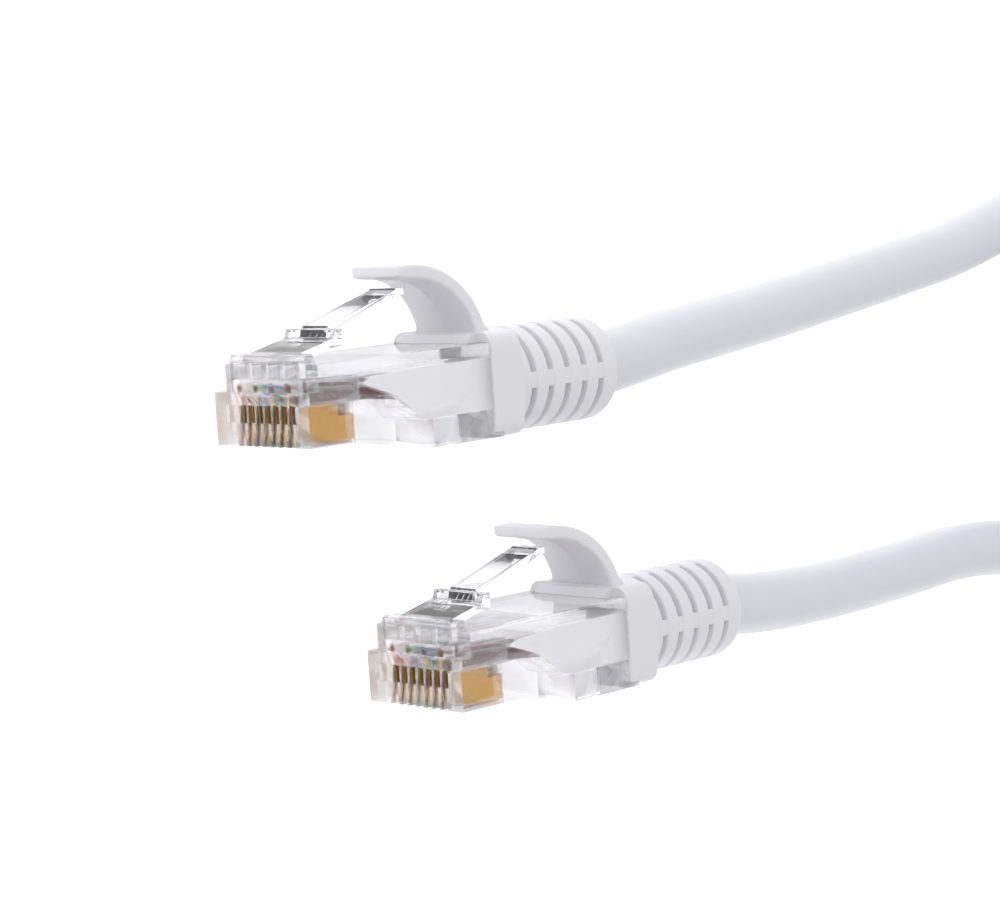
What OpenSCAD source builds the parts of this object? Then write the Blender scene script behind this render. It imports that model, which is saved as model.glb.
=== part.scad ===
// Ethernet patch cable: a round cable with a clear eight-contact modular plug and a snagless
// boot on each end. Millimetres, +Z up. The cable lies on its side on a flat surface, z = 0.
// Each end is drawn in its own plug frame: x = 0 is the mating face and +x points out of the
// nose, +y is the side that ends up on top, and +z is the latch side, with z = 0 on the contact
// face. at_end() then lays it on its side.

/* [Plug housing] */
// Width of the plug across its contacts
plug_w = 11.68; // [11.6:0.02:11.8]
// Height of the nose between the contact face and the latch face
plug_h = 6.6; // [6.5:0.05:6.7]
// Length of the clear housing
plug_len = 21.5; // [21.4:0.1:22]
// How far the rear half of the housing drops below the contact face
heel_drop = 1.45; // [1.2:0.05:1.6]
// Height of the divided contact comb at the nose
comb_h = 4.4; // [4.2:0.1:4.6]

/* [Contacts and wires] */
// Distance between neighbouring contacts
pitch = 1.016; // [1:0.004:1.02]
// Thickness of a contact blade
blade_t = 0.35; // [0.3:0.01:0.38]
// Outer diameter of one insulated wire
wire_d = 0.98; // [0.9:0.02:1]
// Diameter of one copper core
core_d = 0.51; // [0.4:0.01:0.56]

/* [Latch] */
// Width of the latch at its locking shoulder
latch_w = 6.2; // [6:0.05:6.2]
// Width of the latch stem
stem_w = 3.25; // [3:0.05:3.3]
// Height of the latch tip above the contact face
latch_tip_z = 11.75; // [11.4:0.05:11.8]

/* [Boot] */
// Width of the boot's collar
collar_w = 12.3; // [12.2:0.1:12.6]
// Outer diameter of the ribbed strain relief
relief_d = 9.3; // [9:0.1:9.5]
// Number of slots along the strain relief
slots = 5; // [3:1:5]
// Thickness of the hood that arches over the latch
hood_t = 1.2; // [1:0.05:1.3]
// Width of the hood at its base
hood_base_w = 7.8; // [7.4:0.1:8]
// Width of the hood at its tip
hood_tip_w = 6; // [5.6:0.1:6.4]

/* [Cable] */
// Outer diameter of the cable
cable_d = 5.8; // [5.6:0.05:5.8]
// Radius of the hank's tightest fold, at the middle of the cable
fold_r = 17.4; // [17.4:0.2:18.4]
// Length of the hank's straight runs
run_length = 59.6; // [50:0.2:62]
// Thickness of the strap that ties the hank
tie_t = 0.5; // [0.4:0.05:0.6]

/* [Hidden] */
$fn = 48;

CONTACTS = 8;
WIRES = ["white_orange", "orange", "white_green", "blue",
         "white_blue", "green", "white_brown", "brown"];
WIRE_COLOURS = ["#f3d9c8", "#e2703f", "#cfe6d2", "#1f5fa8",
                "#c8d8ee", "#2f8f55", "#d9cbbf", "#6e3a2c"];
ENDS = ["a", "b"];

// plug housing
flange_y = 4.46;              // inner face of the nose's side flanges
brow_x = -0.6;                // front of the raised brow that carries the latch
brow_half = 4.3;              // half width of the brow
shoulder_x = -1.3;            // front of the nose beside the brow
heel_start = -7.5;            // where the underside starts to drop
heel_end = -13.4;             // where it is fully down
notch_w = 0.62;               // width of one notch of the comb
rib_step = 0.3;               // setback of the comb's ribs above their feet
rib_foot_z = 1.9;             // height of the ribs' feet
blade_front = -0.9;           // front edge of a blade
blade_back = -5.7;            // rear edge of a blade's foot
blade_mid = -4.1;             // where the blade's tall part ends
blade_top = 3.25;
blade_low = 0.45;
blade_foot_low = 0.2;
blade_foot_top = 2.2;
tine_top = [4.9, 4.0];        // odd contacts reach the upper row of wires, even ones the lower
tines = [-1.5, -2.6, -3.7];   // front edges of a blade's piercing points
tine_w = 0.35;

// wires and what they pass through
row_z = [4.65, 3.75];         // height of the odd wires and of the even ones
wire_front = -0.95;
wire_end = -12.8;
guide_back = -6.2;
guide_z = [3.25, 5.35];
guide_half = 4.25;
channel_half = 4.15;
channel_z = [2.0, 5.15];
cavity_half = 4.6;
cavity_z = [0.9, 5.25];
lug_x = [-14, -16.9];         // block of the inner mould that fills the crimp window
pocket_back = -20.2;          // rear end of the open part of the crimp window
pocket_half = 4.6;
pocket_r = 1.3;

// latch, on a living hinge behind the brow
latch_pin = [-1.7, 7.05];     // x and z of the hinge line
latch_root_r = 0.38;
hinge_gap = 0.05;
brow_top = 7.43;
lock_front = [-5.5, 8.35];    // where the ramp meets the locking shoulder
lock_back = -6.55;            // rear face of the locking shoulder
lock_z = [7.65, 9.05];        // foot and top of the locking shoulder
stem_root = [-7.95, 8.65];    // where the underside of the stem leaves the shoulder
tip_x = -14.95;
tip_t = 0.6;
pad = [1.1, 0.15];            // length and rise of the pad on the latch's tip

// boot
axis_z = 2.8;                 // height of the cable's axis over the contact face
boot_front = -20.3;
collar_back = -23.4;
collar_z = [-1.5, 7.5];
collar_r = 1.3;
lip_x = -19.2;
lip_half = 4.4;
lip_top = 7.35;
neck_x = -26;                 // where the collar has blended into the strain relief
neck_drop = 4.6;              // how far the neck's hollow curve comes in
boot_end = -37.8;
slot_first = -26.75;
slot_step = -2.08;
slot_w = 0.75;
slot_depth = 1.05;
groove_depth = 0.15;
slot_from = 9;                // degrees away from the side of the strain relief
slot_to = 80;
end_r = 1.2;

// hood: a curved plate on a living hinge in the collar's top
hood_centre = [-14.6, 5.9];
hood_r = 7.75;                // outer radius
hood_pin = [-21.6, 7.3];
hood_tip_x = -13.25;
hood_tip_t = 1;
hood_foot = -22.6;            // where the hood has its base width
hood_room = [-22.35, -20.6];  // pocket in the collar's top that the hood leans forward in

// both ends, lying on their sides
side_h = collar_w / 2;        // height of each plug's axis over the surface
end_step = [14.6, 24];        // how far end b stands behind and beside end a
reach = hood_centre.y + hood_r;
foot = relief_d / 2 - axis_z;
end_a = [(end_step.x - boot_end) / 2, -(end_step.y + foot - reach) / 2];
end_at = [end_a, [end_a.x - end_step.x, end_a.y + end_step.y]];

// the rest of the cable, folded in a tied hank: two runs side by side and one on top of them
lane = cable_d;
hank_x = [-102.3 - run_length, -102.3];  // centres of the folds
hank_z = tie_t;
tie_x = [-136, -129];

// the cable's free stretches, from each boot to the hank; the last point of each is in the hank
route_a = [
    [-11.6, -8.9, 6.15], [-16, -9.35, 6.15], [-21, -10, 5.8], [-26, -10.45, 5.2],
    [-31, -10.8, 4.5], [-37, -11.25, 3.7], [-43, -11.8, 3.2], [-49, -12.5, 2.95],
    [-55, -13.25, 2.9], [-62, -14.2, 2.9], [-69, -15.2, 2.9], [-76, -16.7, 2.9],
    [-83, -18.7, 2.9], [-90, -20.9, 3], [-97, -22.7, 3.3], [-104, -23.2, 3.4]
];
route_b = [
    [-26.2, 15.1, 6.15], [-31, 15.65, 6.15], [-36, 16.15, 5.8], [-41, 16.45, 5.2],
    [-46, 16.65, 4.5], [-51, 16.75, 3.8], [-56, 16.75, 3.3], [-62, 16.55, 3.1],
    [-68, 16.3, 3.1], [-75, 16.7, 3.6], [-81, 17.9, 5.1], [-87, 19.8, 7], [-93, 21.8, 8.6],
    [-99, 23.1, 9.2], [-104, 23.2, 9.2]
];
tube_sides = 12;

function plug_node(e, name) = str("plug_", ENDS[e], "_", name);
function contact_y(i) = (i - (CONTACTS - 1) / 2) * pitch;

// ---------------------------------------------------------------- helpers

// Extrudes a side outline, drawn as [x, z] points, evenly to both sides of y = 0.
module side_profile(w) {
    rotate([90, 0, 0]) linear_extrude(w, center = true) children();
}

// Cylinder along x from x0 to x1.
module rod(x0, x1, d, y = 0, z = 0) {
    translate([min(x0, x1), y, z]) rotate([0, 90, 0]) cylinder(d = d, h = abs(x1 - x0));
}

// Box between two opposite corners.
module span(p, q) {
    lo = [for (k = [0:2]) min(p[k], q[k])];
    hi = [for (k = [0:2]) max(p[k], q[k])];
    translate(lo) cube(hi - lo);
}

// Rectangle between two corners with round corners of radius r.
module round_rect(p, q, r) {
    size = q - p;
    translate([p.x + r, p.y]) square([size.x - 2 * r, size.y]);
    translate([p.x, p.y + r]) square([size.x, size.y - 2 * r]);
    for (x = [p.x + r, q.x - r], y = [p.y + r, q.y - r]) translate([x, y]) circle(r);
}

// Prism along x, from x0 back to x1, of an outline drawn in y and z.
module long_profile(x0, x1) {
    translate([min(x0, x1), 0, 0]) rotate([90, 0, 90]) linear_extrude(abs(x1 - x0)) children();
}

module at_end(e) {
    translate([end_at[e].x, end_at[e].y, side_h]) rotate([90, 0, 0]) children();
}

// ---------------------------------------------------------------- plug

module housing_block() {
    side_profile(plug_w) polygon([
        [0, 0], [0, comb_h], [shoulder_x, comb_h], [shoulder_x, plug_h], [-plug_len, plug_h],
        [-plug_len, -heel_drop], [heel_end, -heel_drop], [heel_start, 0]
    ]);
    side_profile(2 * brow_half) polygon([
        [brow_x, comb_h - 0.5], [brow_x, brow_top - 0.2], [brow_x - 0.25, brow_top],
        [latch_pin.x, brow_top], [latch_pin.x, plug_h], [latch_pin.x - 0.5, comb_h - 0.5]
    ]);
}

module comb_notches() {
    for (i = [0:CONTACTS - 1]) {
        y = contact_y(i);
        span([1, y - notch_w / 2, -1], [blade_front, y + notch_w / 2, blade_top + 0.1]);
        span([0, y - blade_t / 2, -1], [blade_back, y + blade_t / 2, blade_top]);
    }
    span([1, -flange_y, rib_foot_z], [-rib_step, flange_y, blade_top + 0.1]);
}

module crimp_window() {
    side_profile(2 * pocket_half) {
        translate([lug_x[1], -3]) square([lug_x[0] - lug_x[1], cavity_z[0] + 3]);
        round_rect([pocket_back, -3], [lug_x[1], cavity_z[0]], pocket_r);
        translate([lug_x[1] - pocket_r, -3]) square([pocket_r, cavity_z[0] + 3]);
    }
}

module housing() {
    color("gainsboro", 0.5) difference() {
        housing_block();
        comb_notches();
        span([wire_front, -guide_half, guide_z[0]], [guide_back, guide_half, guide_z[1]]);
        span([guide_back, -channel_half, guide_z[0]], [wire_end, channel_half, channel_z[1]]);
        mould_block();
        span([heel_end, -cavity_half, cavity_z[0]], [-plug_len - 1, cavity_half, cavity_z[1]]);
        crimp_window();
        translate([latch_pin.x, 0, latch_pin.y]) rotate([90, 0, 0])
            cylinder(r = latch_root_r + hinge_gap, h = 2 * plug_w, center = true);
    }
}

module mould_block() {
    side_profile(2 * cavity_half) polygon([
        [-plug_len, cavity_z[1]], [-11.3, cavity_z[1]], [-7.4, 4.95], [-6.6, 4.5], [-10, 3.3],
        [-11.3, 2.3], [-12.8, 1], [-13, cavity_z[0]], [-plug_len, cavity_z[0]]
    ]);
}

module inner_mould() {
    color("#e6e5e9") difference() {
        union() {
            mould_block();
            span([lug_x[0], -pocket_half, -heel_drop + 0.1],
                 [lug_x[1], pocket_half, cavity_z[0]]);
        }
        span([0, -channel_half, channel_z[0]], [wire_end, channel_half, channel_z[1]]);
        jacket_flat(-30);
    }
}

module wire_guide() {
    color("white", 0.6) difference() {
        span([wire_front, -guide_half, guide_z[0]], [guide_back, guide_half, guide_z[1]]);
        for (i = [0:CONTACTS - 1]) {
            rod(1, -9, wire_d, contact_y(i), row_z[i % 2]);
            blade_tines(i);
        }
    }
}

module blade_tines(i) {
    for (x = tines)
        span([x, contact_y(i) - blade_t / 2, blade_top - 0.2],
             [x - tine_w, contact_y(i) + blade_t / 2, tine_top[i % 2]]);
}

module contact(i) {
    color("#d9a441") {
        translate([0, contact_y(i), 0]) side_profile(blade_t) polygon([
            [blade_front, blade_low + 0.4], [blade_front, blade_top], [blade_mid, blade_top],
            [blade_mid, blade_foot_top], [blade_back, blade_foot_top],
            [blade_back, blade_foot_low], [blade_mid, blade_foot_low], [blade_front - 0.4, blade_low]
        ]);
        blade_tines(i);
    }
}

module wire_core(i, d) {
    rod(wire_front, wire_end, d, contact_y(i), row_z[i % 2]);
}

module wire(i) {
    color(WIRE_COLOURS[i]) difference() {
        wire_core(i, wire_d);
        rod(1, -30, core_d, contact_y(i), row_z[i % 2]);
        blade_tines(i);
    }
}

module cores() {
    color("#b87333") for (i = [0:CONTACTS - 1]) difference() {
        wire_core(i, core_d);
        blade_tines(i);
    }
}

module latch() {
    color("gainsboro", 0.6) {
        translate([latch_pin.x, 0, latch_pin.y]) rotate([90, 0, 0])
            cylinder(r = latch_root_r, h = latch_w, center = true);
        side_profile(latch_w) polygon([
            latch_pin + [0.1, latch_root_r - 0.02], lock_front, [lock_front.x - 0.25, lock_z[1]],
            [lock_back, lock_z[1]], [lock_back, lock_z[0]], [lock_front.x + 0.6, lock_z[0] - 0.2],
            latch_pin - [0.1, latch_root_r - 0.02]
        ]);
        side_profile(stem_w) polygon([
            [lock_front.x - 0.6, lock_z[1]], [lock_back + 0.2, lock_z[1] + 0.25],
            [tip_x + pad.x, latch_tip_z - pad.y], [tip_x + pad.x - 0.2, latch_tip_z],
            [tip_x, latch_tip_z], [tip_x, latch_tip_z - tip_t],
            [tip_x + 0.7, latch_tip_z - tip_t - 0.1], stem_root,
            [lock_back, lock_z[0] + 0.3], [lock_back + 0.5, lock_z[0] + 0.3]
        ]);
    }
}

// ---------------------------------------------------------------- cable end and boot

// The jacket where it is squeezed flat inside the plug.
module jacket_flat(x1) {
    flat = cavity_z[1] - cavity_z[0] - 0.3;
    mid = (cavity_z[0] + cavity_z[1]) / 2;
    long_profile(wire_end, x1)
        round_rect([-3.4, mid - flat / 2], [3.4, mid + flat / 2], flat / 2 - 0.01);
}

module jacket() {
    color("#e5e6eb") {
        jacket_flat(-plug_len);
        rod(-plug_len, boot_end, cable_d, 0, axis_z);
    }
}

module relief_slots() {
    r = relief_d / 2;
    for (k = [0:slots - 1]) {
        translate([slot_first + k * slot_step, 0, axis_z]) rotate([0, 90, 0]) {
            for (side = [0, 90, 180, 270]) {
                start = side == 0 || side == 180 ? 90 - slot_to : slot_from;
                rotate([0, 0, side]) rotate_extrude(angle = slot_to - slot_from, start = start)
                    translate([r - slot_depth, -slot_w / 2]) square([slot_depth + 1, slot_w]);
            }
            rotate_extrude() translate([r - groove_depth, -slot_w / 2]) square([1, slot_w]);
        }
    }
}

module boot() {
    r = relief_d / 2;
    color("#e8e7ec") difference() {
        union() {
            intersection() {
                long_profile(boot_front, neck_x)
                    round_rect([-collar_w / 2, collar_z[0]], [collar_w / 2, collar_z[1]], collar_r);
                neck_turning();
            }
            rod(neck_x + 0.5, boot_end + end_r, relief_d, 0, axis_z);
            rod(boot_end + end_r, boot_end, relief_d - 2 * end_r, 0, axis_z);
            translate([boot_end + end_r, 0, axis_z]) rotate([0, 90, 0]) rotate_extrude()
                translate([r - end_r, 0]) circle(end_r);
            side_profile(2 * lip_half) polygon([
                [lip_x, plug_h], [lip_x - 0.5, lip_top], [boot_front - 1, lip_top],
                [boot_front - 1, plug_h]
            ]);
        }
        span([0, -plug_w / 2, -heel_drop], [-plug_len, plug_w / 2, plug_h]);
        rod(0, -60, cable_d, 0, axis_z);
        relief_slots();
        translate([hood_pin.x, 0, hood_pin.y]) rotate([90, 0, 0])
            cylinder(r = hood_t / 2 + hinge_gap, h = hood_base_w + 0.2, center = true);
        span([hood_room[0], -hood_base_w / 2 - 0.1, hood_pin.y - 0.1],
             [hood_room[1], hood_base_w / 2 + 0.1, collar_z[1] + 1]);
    }
}

// Turned shape that rounds the square collar down to the round strain relief.
module neck_turning() {
    r = relief_d / 2 - 0.05;
    neck = collar_back - neck_x;
    translate([0, 0, axis_z]) rotate([0, -90, 0]) rotate_extrude() polygon(concat(
        [[0, 0], [plug_w, 0], [plug_w, -collar_back]],
        [for (k = [0:6]) [r + neck_drop * (1 - sin(15 * k)), -neck_x - neck * cos(15 * k)]],
        [[r, 1 - neck_x], [0, 1 - neck_x]]
    ));
}

module hood() {
    inner_r = hood_r - hood_t;
    color("#e8e7ec") {
        intersection() {
            side_profile(plug_len) {
                difference() {
                    intersection() {
                        translate(hood_centre) circle(hood_r, $fn = 96);
                        translate([-2 * plug_len, hood_pin.y + 0.05])
                            square([2 * plug_len + hood_centre.x, plug_len]);
                    }
                    translate(hood_centre) circle(inner_r, $fn = 96);
                }
                translate([hood_centre.x - 0.2, reach - hood_tip_t])
                    square([hood_tip_x - hood_centre.x + 0.2, hood_tip_t]);
            }
            linear_extrude(plug_len) polygon([
                [hood_tip_x, -hood_tip_w / 2], [hood_foot, -hood_base_w / 2],
                [hood_foot, hood_base_w / 2], [hood_tip_x, hood_tip_w / 2]
            ]);
        }
        translate([hood_pin.x, 0, hood_pin.y]) rotate([90, 0, 0])
            cylinder(r = hood_t / 2, h = hood_base_w - 0.1, center = true);
    }
}

// ---------------------------------------------------------------- cable

// Tube of radius r swept through the points, one ring on each.
module tube(points, r) {
    n = len(points);
    rings = [for (i = [0:n - 1])
        let (t = points[min(i + 1, n - 1)] - points[max(i - 1, 0)],
             s = cross(t, [0, 0, 1]) / norm(cross(t, [0, 0, 1])),
             u = cross(s, t) / norm(t))
        for (k = [0:tube_sides - 1])
            points[i] + r * (cos(360 * k / tube_sides) * s + sin(360 * k / tube_sides) * u)];
    sides = [for (i = [0:n - 2], k = [0:tube_sides - 1])
        let (a = i * tube_sides + k, b = i * tube_sides + (k + 1) % tube_sides)
        [a, b, b + tube_sides, a + tube_sides]];
    caps = [[for (k = [tube_sides - 1:-1:0]) k],
            [for (k = [0:tube_sides - 1]) (n - 1) * tube_sides + k]];
    polyhedron(rings, concat(sides, caps));
}

module lead(points) {
    color("#e5e6eb") tube(points, cable_d / 2);
}

// Section of the hank across its runs: the bottom layer, and a third run on top.
module hank_section() {
    round_rect([fold_r - lane / 2, hank_z], [fold_r + 1.5 * lane, hank_z + lane],
               lane / 2 - 0.01);
    round_rect([fold_r, hank_z + lane / 2], [fold_r + lane, hank_z + 2 * lane], lane / 2 - 0.01);
}

module hank() {
    color("#e5e6eb") {
        translate([hank_x[0], 0, 0]) rotate_extrude(angle = 180, start = 90, $fn = 96)
            hank_section();
        translate([hank_x[1], 0, 0]) rotate_extrude(angle = 180, start = -90, $fn = 96)
            round_rect([fold_r - lane / 2, hank_z], [fold_r + lane / 2, hank_z + 2 * lane],
                       lane / 2 - 0.01);
        for (side = [0, 1]) mirror([0, side, 0])
            long_profile(hank_x[1], hank_x[0]) hank_section();
    }
}

// Strap round the hank's runs on one side.
module hank_tie() {
    inner = fold_r - lane / 2;
    outer = fold_r + 1.5 * lane;
    top = hank_z + 2 * lane;
    knee = hank_z + lane;
    color("#d8d9de") mirror([0, 1, 0]) long_profile(tie_x[1], tie_x[0]) difference() {
        polygon([[inner - tie_t, hank_z - tie_t], [inner - tie_t, knee + tie_t / 2],
                 [fold_r - tie_t, top + tie_t], [fold_r + lane + tie_t, top + tie_t],
                 [outer + tie_t, knee + tie_t / 2], [outer + tie_t, hank_z - tie_t]]);
        polygon([[inner, hank_z], [inner, knee], [fold_r, top], [fold_r + lane, top],
                 [outer, knee], [outer, hank_z]]);
    }
}

// ---------------------------------------------------------------- nodes

for (e = [0, 1]) {
    at_end(e) housing();
    at_end(e) latch();
    at_end(e) wire_guide();
    at_end(e) inner_mould();
    at_end(e) jacket();
    at_end(e) cores();
    at_end(e) boot();
    at_end(e) hood();
    for (i = [0:CONTACTS - 1]) {
        at_end(e) contact(i);
        at_end(e) wire(i);
    }
}
lead(route_a);  // lead_a
lead(route_b);  // lead_b
hank();
hank_tie();
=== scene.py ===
from math import cos, pi, radians, sin

import bmesh
import bpy
from bpy.props import FloatProperty, FloatVectorProperty, IntProperty, PointerProperty
from mathutils import Matrix, Quaternion, Vector


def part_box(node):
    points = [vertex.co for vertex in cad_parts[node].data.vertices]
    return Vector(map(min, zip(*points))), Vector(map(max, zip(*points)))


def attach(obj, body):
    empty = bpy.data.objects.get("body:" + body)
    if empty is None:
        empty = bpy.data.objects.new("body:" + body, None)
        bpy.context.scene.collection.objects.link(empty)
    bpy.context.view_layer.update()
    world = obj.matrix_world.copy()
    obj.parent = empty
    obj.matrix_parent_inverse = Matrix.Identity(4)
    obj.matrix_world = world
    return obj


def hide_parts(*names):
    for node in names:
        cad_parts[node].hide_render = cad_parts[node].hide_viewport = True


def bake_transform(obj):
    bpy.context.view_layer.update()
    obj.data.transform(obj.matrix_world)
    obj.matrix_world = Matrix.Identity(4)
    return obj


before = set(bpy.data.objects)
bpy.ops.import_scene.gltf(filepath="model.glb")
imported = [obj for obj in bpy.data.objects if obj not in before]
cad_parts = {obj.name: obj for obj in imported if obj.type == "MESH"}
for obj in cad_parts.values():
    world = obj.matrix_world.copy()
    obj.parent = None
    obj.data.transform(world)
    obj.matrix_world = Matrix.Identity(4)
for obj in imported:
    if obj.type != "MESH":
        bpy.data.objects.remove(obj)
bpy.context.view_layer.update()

bl_info = {
    "name": "Ethernet Patch Cable",
    "version": (1, 0, 0),
    "blender": (4, 5, 0),
    "location": "3D View > Sidebar > Patch Cable",
    "description": "Builds a patch cable with a clear modular plug and a snagless boot on each end",
    "category": "Add Mesh",
}

MM = 0.001
WHITE = (1.0, 1.0, 1.0, 1.0)
ENDS = ("a", "b")
CONTACTS = range(8)

# Each end is modelled in millimetres in its own plug frame: x = 0 is the mating face and +x
# points out of the nose, +y is the side that lies uppermost, and +z is the latch side, with
# z = 0 on the contact face.
HOUSING_LO, HOUSING_HI = (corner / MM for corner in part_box("plug_a_housing"))
BOOT_LO, BOOT_HI = (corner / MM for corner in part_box("plug_a_boot"))
PLUG_W = HOUSING_HI.z - HOUSING_LO.z
PLUG_LEN = HOUSING_HI.x - HOUSING_LO.x
COLLAR_W = BOOT_HI.z - BOOT_LO.z
BOOT_END = BOOT_LO.x - HOUSING_HI.x

# plug housing
HEEL_DROP = 1.45              # how far the rear half stands below the contact face
PLUG_H = 6.6
COMB_H = 4.4                  # height of the divided comb of the nose
FLANGE_Y = 4.46               # inner face of the flanges beside the comb
BROW_X, BROW_HALF, BROW_TOP = -0.6, 4.3, 7.43
SHOULDER_X = -1.3
HEEL_START, HEEL_END = -7.5, -13.4
RIB_STEP, RIB_FOOT_Z = 0.3, 1.9
FIT = 0.03                    # air between the housing and each piece in it

# contacts and wires
PITCH = 1.016
BLADE_T = 0.35
BLADE_FRONT, BLADE_MID, BLADE_BACK = -0.9, -4.1, -5.7
BLADE_LOW, BLADE_TOP = 0.45, 3.25
FOOT_LOW, FOOT_TOP = 0.2, 2.2
TINES = (-1.5, -2.6, -3.7)    # front edges of a blade's piercing points
TINE_W = 0.35
TINE_TOP = (4.9, 4.0)         # odd contacts reach the upper row of wires, even ones the lower
ROW_Z = (4.65, 3.75)          # height of the odd wires and of the even ones
WIRE_FRONT, WIRE_END = -0.95, -12.8
CORE_PROUD = 0.03

STRIPE_SHARE = 0.38           # part of the way between two stripes that is printed

# what the wires pass through
GUIDE_BACK, GUIDE_HALF, GUIDE_Z = -6.2, 4.25, (3.25, 5.35)
CHANNEL_HALF, CHANNEL_Z = 4.15, (2.0, 5.15)
CAVITY_HALF, CAVITY_Z = 4.6, (0.9, 5.25)
LUG_X = (-14.0, -16.9)        # the inner mould's block in the crimp window
POCKET_BACK, POCKET_R = -20.2, 1.3

# latch and hood
LATCH_PIN = (-1.7, 7.05)
LATCH_ROOT_R = 0.38
LOCK_X, LOCK_FRONT, LOCK_TOP, LOCK_Z = -6.55, -5.5, 9.05, 7.65
STEM_TIP = (-14.95, 11.75)
HOOD_CENTRE, HOOD_R = (-14.6, 5.9), 7.75
HOOD_PIN = (-21.6, 7.3)
HOOD_TIP_X = -13.25
HOOD_ROOM = (-20.6, -22.35)   # pocket in the collar round the hood's foot

# boot
AXIS_Z = 2.8                  # height of the cable's axis over the contact face
COLLAR_FRONT, COLLAR_BACK = -20.3, -23.4
COLLAR_Z = (-1.5, 7.5)
COLLAR_R = 1.3
LIP_X, LIP_HALF, LIP_TOP = -19.2, 4.4, 7.35
NECK_X = -26.0                # where the collar has blended into the strain relief
SLOT_FIRST, SLOT_STEP = -26.75, -2.08
GROOVE_DEPTH = 0.15

# The cable's free stretches, from each boot to the hank, in metres.
ROUTE_A = [
    (-0.0116, -0.0089, 0.00615), (-0.016, -0.00935, 0.00615), (-0.021, -0.01, 0.0058),
    (-0.026, -0.01045, 0.0052), (-0.031, -0.0108, 0.0045), (-0.037, -0.01125, 0.0037),
    (-0.043, -0.0118, 0.0032), (-0.049, -0.0125, 0.00295), (-0.055, -0.01325, 0.0029),
    (-0.062, -0.0142, 0.0029), (-0.069, -0.0152, 0.0029), (-0.076, -0.0167, 0.0029),
    (-0.083, -0.0187, 0.0029), (-0.09, -0.0209, 0.003), (-0.097, -0.0227, 0.0033),
]
ROUTE_B = [
    (-0.0262, 0.0151, 0.00615), (-0.031, 0.01565, 0.00615), (-0.036, 0.01615, 0.0058),
    (-0.041, 0.01645, 0.0052), (-0.046, 0.01665, 0.0045), (-0.051, 0.01675, 0.0038),
    (-0.056, 0.01675, 0.0033), (-0.062, 0.01655, 0.0031), (-0.068, 0.0163, 0.0031),
    (-0.075, 0.0167, 0.0036), (-0.081, 0.0179, 0.0051), (-0.087, 0.0198, 0.007),
    (-0.093, 0.0218, 0.0086), (-0.099, 0.0231, 0.0092),
]
HANK_EAST = -0.1023           # centre of the hank's nearer fold
# Where the cable runs in the hank, in metres: quarters of a lap gone, way out from the
# hank's middle line, and height. A lap is one run, the far fold, the other run and the near fold.
HANK_LANES = [
    (0.0, 0.0232, 0.0034), (3.0, 0.0232, 0.0034), (4.0, 0.0174, 0.0034), (6.4, 0.0174, 0.0034),
    (7.0, 0.0174, 0.0092), (8.05, 0.0174, 0.0092), (8.4, 0.0203, 0.00842),
    (9.0, 0.0203, 0.00842), (9.8, 0.0232, 0.0092), (11.0, 0.0232, 0.0092),
]
RUN_POINTS, FOLD_POINTS = 5, 8


# ---------------------------------------------------------------- colours and nodes

def linear(colour):
    """Turns an sRGB hex colour into linear RGBA."""
    parts = [int(colour[k:k + 2], 16) / 255 for k in (1, 3, 5)]
    return (*(p / 12.92 if p <= 0.04045 else ((p + 0.055) / 1.055) ** 2.4 for p in parts), 1.0)


def add(tree, kind, sockets={}, **settings):
    """Adds one node, makes its settings, and fills or links each named input socket."""
    node = tree.nodes.new(kind)
    for name, value in settings.items():
        setattr(node, name, value)
    for name, value in sockets.items():
        if isinstance(value, bpy.types.NodeSocket):
            tree.links.new(value, node.inputs[name])
        else:
            node.inputs[name].default_value = value
    return node


def finish(name, describe):
    """The material of a name, made at its first use: describe(tree) gives its shader's sockets."""
    if name not in bpy.data.materials:
        material = bpy.data.materials.new(name)
        material.use_nodes = True
        tree = material.node_tree
        tree.nodes.clear()
        shader = add(tree, "ShaderNodeBsdfPrincipled", describe(tree))
        add(tree, "ShaderNodeOutputMaterial", {"Surface": shader.outputs["BSDF"]})
    return bpy.data.materials[name]


def surface_grain(tree, size, depth, detail=3.0, stretch=(1.0, 1.0, 1.0)):
    """Noise with grains of a given size in millimetres, and the bump that it makes."""
    place = add(tree, "ShaderNodeTexCoord")
    spread = add(tree, "ShaderNodeMapping",
                 {"Vector": place.outputs["Object"], "Scale": stretch})
    noise = add(tree, "ShaderNodeTexNoise",
                {"Vector": spread.outputs["Vector"], "Scale": 1 / (size * MM), "Detail": detail})
    bump = add(tree, "ShaderNodeBump",
               {"Height": noise.outputs["Fac"], "Distance": depth * MM, "Strength": 1.0})
    return noise.outputs["Fac"], bump.outputs["Normal"]


def mottle(tree, fac, dark, light):
    """Spreads a noise between two values or two colours."""
    ramp = add(tree, "ShaderNodeValToRGB", {"Fac": fac})
    ramp.color_ramp.elements[0].position, ramp.color_ramp.elements[1].position = 0.35, 0.65
    ramp.color_ramp.elements[0].color, ramp.color_ramp.elements[1].color = dark, light
    return ramp.outputs["Color"]


def grey(level):
    return (level, level, level, 1.0)


# ---------------------------------------------------------------- materials

def clear_polycarbonate(part, alpha):
    """Clear injection-moulded polycarbonate: glassy, with the faint waviness of a small mould.

    A thin wall lets much of the light straight through, so its alpha is under 1.
    """
    def describe(tree):
        fac, wavy = surface_grain(tree, 1.6, 0.012, 1.0)
        return {"Base Color": bpy.context.scene.patch_plug.clear_colour, "IOR": 1.585,
                "Transmission Weight": 1.0, "Alpha": alpha,
                "Roughness": mottle(tree, fac, grey(0.02), grey(0.07)), "Normal": wavy}
    return finish(f"clear_polycarbonate_{part}", describe)


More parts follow.
